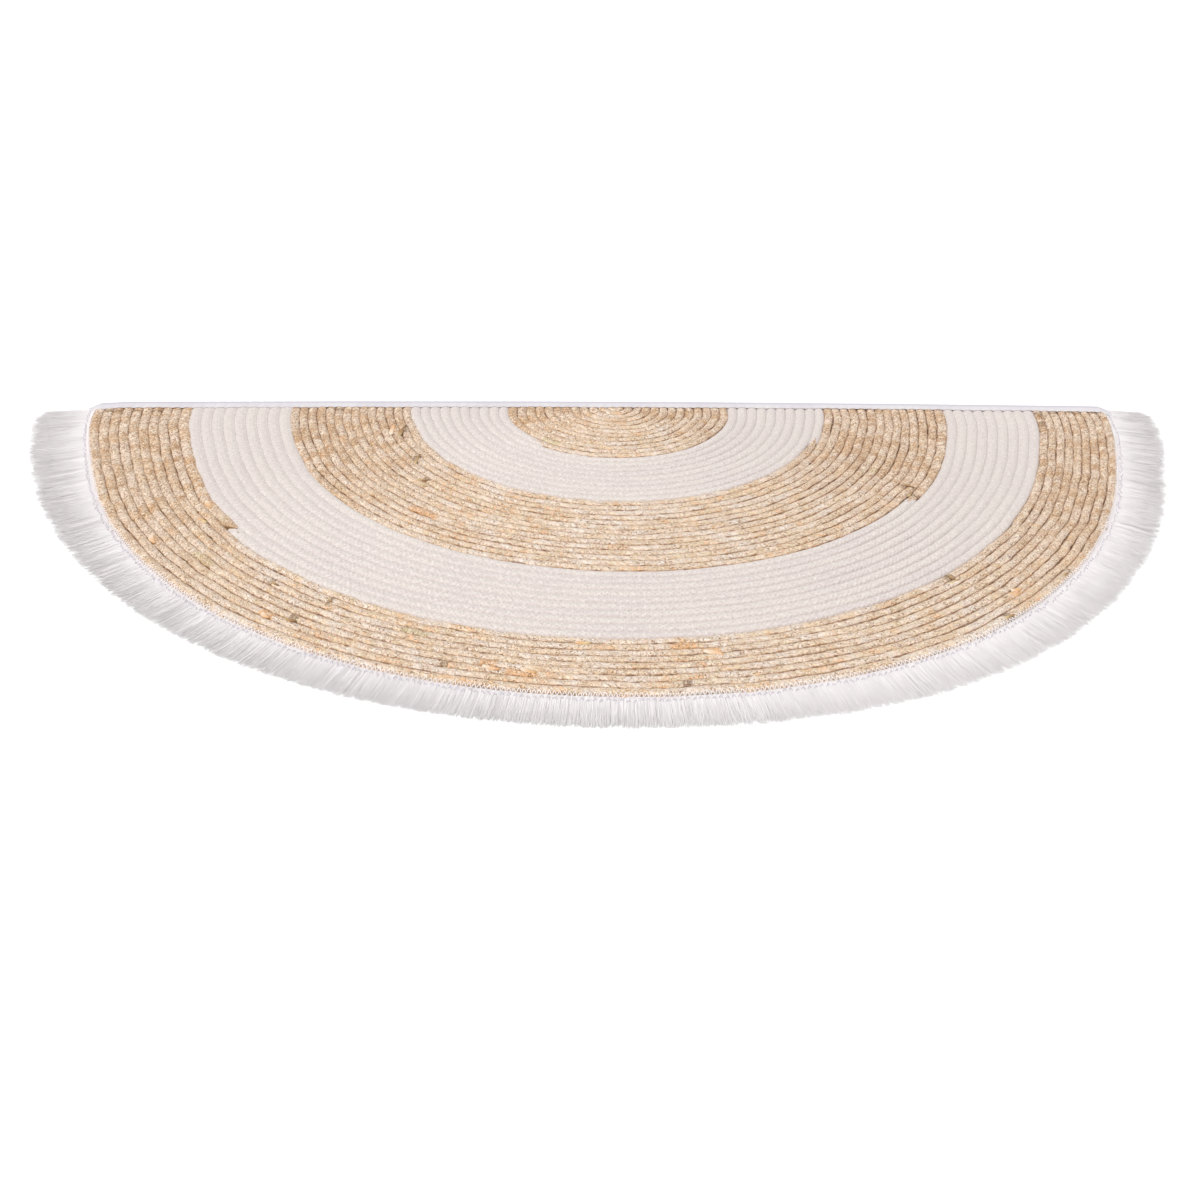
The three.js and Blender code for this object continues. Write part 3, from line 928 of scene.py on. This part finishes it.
def edge_tape(finish):
    """The tape folded over the cut ends. It follows the cords a little, and its tails lie down
    over the heading at both ends."""
    grooves = [groove_radius(cord, np.array([0.0, LEFT_END])) for cord in range(CORD_COUNT + 1)]
    right = np.array([pair[0] for pair in grooves])
    left = np.array([pair[1] for pair in grooves])
    stations, folds = [], []
    for x in np.append(np.arange(TAPE_X[0], TAPE_X[-1], 2.0), TAPE_X[-1]):
        front, back = np.interp(x, TAPE_X, TAPE_FRONT), np.interp(x, TAPE_X, TAPE_BACK)
        radii = right if x > 0 else left
        turn = np.interp(abs(x), radii, np.arange(len(radii)))
        crown = abs(math.sin(turn * math.pi)) ** 0.7
        wave = 0.35 * math.sin(x / 17.0) + 0.3 * math.sin(x / 7.3 + 1)
        top = 9.15 + 0.2 * crown
        lip = 7.7 + 1.1 * crown
        edge = front + wave
        inside = back - 1.3
        # Out from the coil's centre line, up, and how much of the fold's painted shade shows there.
        section = (
            (edge + 0.6, 0.0, 0),
            (back - 1.2, 0.0, 0),
            (back - 0.3, 0.5, 1),
            (back, 1.6, 1),
            (back, 4.5, 1),
            (back, 7.4, 1),
            (back - 0.3, 8.7, 1),
            (back - 1.2, top, 1),
            (back - 2.6, top - 0.3, 0.6),
            ((edge + back) / 2, top - 0.1, 0),
            (edge + 2.6, lip + 0.35, 0),
            (edge + 1.2, lip + 0.2, 0),
            (edge + 0.2, lip, 0),
            (edge, lip - 0.45, 0),
            (edge + 0.3, lip - 0.85, 0),
            ((edge + back) / 2, 8.15, 0),
            (inside, 8.1, 0),
            (inside, 4.5, 0),
            (inside, 1.15, 0),
            ((edge + back) / 2, 1.1, 0),
            (edge + 0.3, 1.0, 0),
            (edge, 0.5, 0),
        )
        low = np.interp(x, TAPE_X, TAPE_HEIGHT)
        flat = np.array([(x, y) for y, _, _ in section])
        stations.append(in_frame(flat, [z * low for _, z, _ in section]))
        folds += [fold for _, _, fold in section]
    return shell_piece("edge_tape", *shell(stations), finish, fold=folds)


def rim_path(beyond, height, start, end, step):
    """Points along the rim, moved outwards, with the way out and the reach to the fringe's tips.
    The fringe is a little shorter at both ends."""
    angles = np.linspace(start, end, 2000)
    points = plan(line_radius("rim", angles) + beyond, angles)
    shares = evenly(points, step)
    angles, points = at_shares(angles, shares), at_shares(points, shares)
    out = np.column_stack((plan(1, angles), np.zeros(len(angles))))
    reach = (line_radius("tips", angles) - line_radius("rim", angles) - beyond) * MM
    reach = reach * np.interp(angles, (start, start + 1.2, end - 1.5, end), (0.88, 1, 1, 0.9))
    return in_frame(points, height), out, reach


def heading_tape(finish):
    """The narrow tape that holds the fringe's roots."""
    stations = []
    for angle in np.linspace(0, 179.5, 720):
        rim = line_radius("rim", np.array([angle]))[0]
        wave = 0.25 * math.sin(angle * 2.1) + 0.2 * math.sin(angle * 5.3 + 2)
        section = (
            (rim + 0.2, 0.9),
            (rim + 7 + wave, 0.3),
            (rim + 7.6 + wave, 0.9),
            (rim + 6 + wave, 1.6),
            (rim + 3.5 + wave, 2.6),
            (rim + 1.5, 3.4),
            (rim + 0.3, 3.6),
            (rim - 0.4, 3.0),
        )
        flat = plan(np.array([radius for radius, _ in section]), angle)
        stations.append(in_frame(flat, [z for _, z in section]))
    return shell_piece("fringe_heading", *shell(stations), finish)


def on_coil(cord, angle):
    """The point at a fractional cord number and an angle, in millimetres."""
    inner, outer = (groove_radius(int(cord) + side, np.array([angle]))[0] for side in (0, 1))
    return plan(inner + (outer - inner) * (cord % 1), angle)


def husk_ends(finish):
    """Loose ends of husk leaf, each a thin curled leaf that lies on the cords and is paler or
    darker at its root."""
    points, faces, shades = [], [], []
    steps = np.linspace(0, 1, 9)
    section = ((-0.5, 0.4), (0.5, 0.4), (1, 0.0), (0.5, 0.8), (-0.5, 0.8), (-1, 0.0))
    for cord, angle, end_cord, end_angle, width, lift, shade in HUSK_ENDS:
        start, end = on_coil(cord, angle), on_coil(end_cord, end_angle)
        ahead = end - start
        beside = np.array((-ahead[1], ahead[0])) / np.linalg.norm(ahead)
        stations = []
        for at in steps:
            half = width / 2 * (0.1 + 0.9 * math.sin(math.pi * (0.12 + 0.86 * at**0.8)) ** 0.7)
            middle = start + ahead * at + beside * 0.1 * width * math.sin(at * 5 + cord)
            low = LEAF_BED + lift * at**1.4
            flat = np.array([middle + beside * half * side for side, _ in section])
            stations.append(in_frame(flat, [low + rise for _, rise in section]))
        leaf_points, leaf_faces = shell(stations, len(points))
        points += leaf_points
        faces += leaf_faces
        root = 1.0 if shade > 0.7 else shade + 0.3
        shades += np.repeat(shade + (root - shade) * (1 - steps) ** 1.5, len(section)).tolist()
    return shell_piece("husk_ends", points, faces, finish, shade=shades)


def sew(name, tree, finish, path, out, sizes):
    """Thread sewn along a path."""
    mesh = path_mesh(f"{name}_path", [path], {"outward": [out]})
    return grow(name, tree, mesh, {"Finish": finish, **sizes})


yarn = yarn_finish()

cords = cord_tree()
husk_sizes = {
    "Sides": 10.0,
    "Half Height": CORD_HEIGHT / 2 * MM,
    "Wander": 5 * MM,
    "Wander Length": 45 * MM,
    "Lump": 2.6 * MM,
    "Lump Length": 15 * MM,
    "Leaf": 0.8 * MM,
    "Fullness": 1.17,
    "Seed": float(SEED),
}
cotton_sizes = {
    **husk_sizes,
    "Wander": 2 * MM,
    "Lump": 1.3 * MM,
    "Lump Length": 6 * MM,
    "Leaf": 0.0,
    "Fullness": 1.12,
}
husk = (husk_finish(), HUSK_TIP, husk_sizes, "straw_cord")
cotton = (cotton_finish(), COTTON_TIP, cotton_sizes, "cotton_cord")
# Band, its cord, the step between points on it and how it crowds towards the left.
coils = (
    ("straw_centre", husk, 1.3, 1.04),
    ("straw_middle", husk, 1.45, 1.04),
    ("straw_outer", husk, 1.5, 1.04),
    ("cotton_inner", cotton, 2.2, 1.12),
    ("cotton_outer", cotton, 2.6, 1.28),
)
for band, (finish, tip, sizes, slot), step, crowding in coils:
    piece = coil_band(band, cords, finish, step, tip, crowding, sizes)
    wear(piece, slot, band)

loose_ends = wear(husk_ends(husk_end_finish()), "straw_cord")
binding = wear(edge_tape(tape_finish()), "binding_tape", "edge_binding")
heading = wear(heading_tape(yarn), "fringe_yarn")

path, out, reach = rim_path(beyond=0.6, height=0, start=-0.7, end=179.7, step=2)
strand_path = path_mesh("strand_path", [path], {"outward": [out], "reach": [reach]})
strand_sizes = {
    "Strands": 7200.0,
    "Points": 5.0,
    "Root Height": 4.6 * MM,
    "Tip Height": 0.75 * MM,
    "Thickness": 0.46 * MM,
    "Lean": 0.012,
    "Wave": 2.4 * MM,
    "Wave Length": 22 * MM,
    "Seed": float(SEED),
}
under_sizes = {
    **strand_sizes,
    "Strands": 6400.0,
    "Points": 4.0,
    "Root Height": 4.4 * MM,
    "Tip Height": 0.2 * MM,
    "Thickness": 0.7 * MM,
    "Seed": float(SEED + 4),
}
fringe = fringe_tree()
strands = grow("fringe_strands", fringe, strand_path.copy(), {"Finish": yarn, **strand_sizes})
wear(strands, "fringe_yarn", "fringe")
under_strands = grow("fringe_under_strands", fringe, strand_path, {"Finish": yarn, **under_sizes})
wear(under_strands, "fringe_yarn")

sewing = thread_tree()
zigzag_sizes = {
    "Stitch": 4 * MM,
    "Points": 8.0,
    "Swing": 1.9 * MM,
    "Tilt": 0.62,
    "Lift": -0.4 * MM,
    "Dips": 2.0,
    "Thickness": 0.3 * MM,
    "Unevenness": 2.2 * MM,
}
path, out, _ = rim_path(beyond=0.4, height=6.3, start=0.8, end=179.0, step=1)
zigzag = wear(sew("heading_stitches", sewing, yarn, path, out, zigzag_sizes), "fringe_yarn")

path, out, _ = rim_path(beyond=5, height=4.1, start=0.3, end=179.3, step=1)
row_sizes = {
    **zigzag_sizes,
    "Stitch": 5.2 * MM,
    "Swing": 0.8 * MM,
    "Tilt": 0.12,
    "Lift": -1.4 * MM,
    "Dips": 1.0,
    "Thickness": 0.38 * MM,
    "Unevenness": 8 * MM,
}
row = wear(sew("row_stitches", sewing, thread_finish(), path, out, row_sizes), "fringe_yarn")

# Floor, light and camera.


def floor_sheet(half):
    """The pale floor, which isn't part of the rug."""
    pale = {"Base Color": (0.93, 0.93, 0.93, 1), "Roughness": 0.9, "Specular IOR Level": 0.1}
    corners = [(-half, -half, 0), (half, -half, 0), (half, half, 0), (-half, half, 0)]
    shell_piece("floor", corners, [(0, 1, 2, 3)], new_finish("floor", pale)[0])


def studio_light(place, spread, strength):
    """A large light far off, the same all over the floor."""
    light = bpy.data.lights.new("studio_light", "SUN")
    light.angle = spread
    light.energy = strength
    back = np.array(place) / np.linalg.norm(place)
    side = np.cross((0, 0, 1), back)
    side /= np.linalg.norm(side)
    lamp = in_scene("studio_light", light)
    lamp.matrix_world = place_matrix(side, np.cross(back, side), back, place)


def place_matrix(side, up, back, place):
    """Turns a light or camera to its own axes and puts it at its place."""
    rows = np.eye(4)
    rows[:3] = np.column_stack((side, up, back, place))
    return Matrix(rows.tolist())


def photo_camera(yaw, pitch, roll, place, lens):
    """The camera at the photograph's viewing angle, at a place given from the coil's centre."""
    ahead = np.array(
        (math.sin(yaw) * math.cos(pitch), math.cos(yaw) * math.cos(pitch), -math.sin(pitch))
    )
    level = np.array((math.cos(yaw), -math.sin(yaw), 0))
    above = np.cross(level, ahead)
    side = level * math.cos(roll) + above * math.sin(roll)
    up = above * math.cos(roll) - level * math.sin(roll)
    data = bpy.data.cameras.new("photo_camera")
    data.sensor_width = 36
    data.lens = lens
    camera = in_scene("photo_camera", data)
    camera.matrix_world = place_matrix(side, up, -ahead, np.array((*COIL, 0)) + place)
    bpy.context.scene.camera = camera


floor_sheet(half=9)
angles = [math.radians(value) for value in (1.94, 32.09, 1.06)]
photo_camera(*angles, place=(-0.062, -1.4136, 0.641), lens=41.43)
studio_light(place=(-1.2, -1.25, 1.8), spread=0.5, strength=1.75)
world = bpy.data.worlds.new("studio")
world.use_nodes = True
sky = world.node_tree.nodes["Background"].inputs
sky["Color"].default_value = (1, 1, 1, 1)
sky["Strength"].default_value = 0.86
bpy.context.scene.world = world
bpy.context.scene.view_settings.view_transform = "Standard"
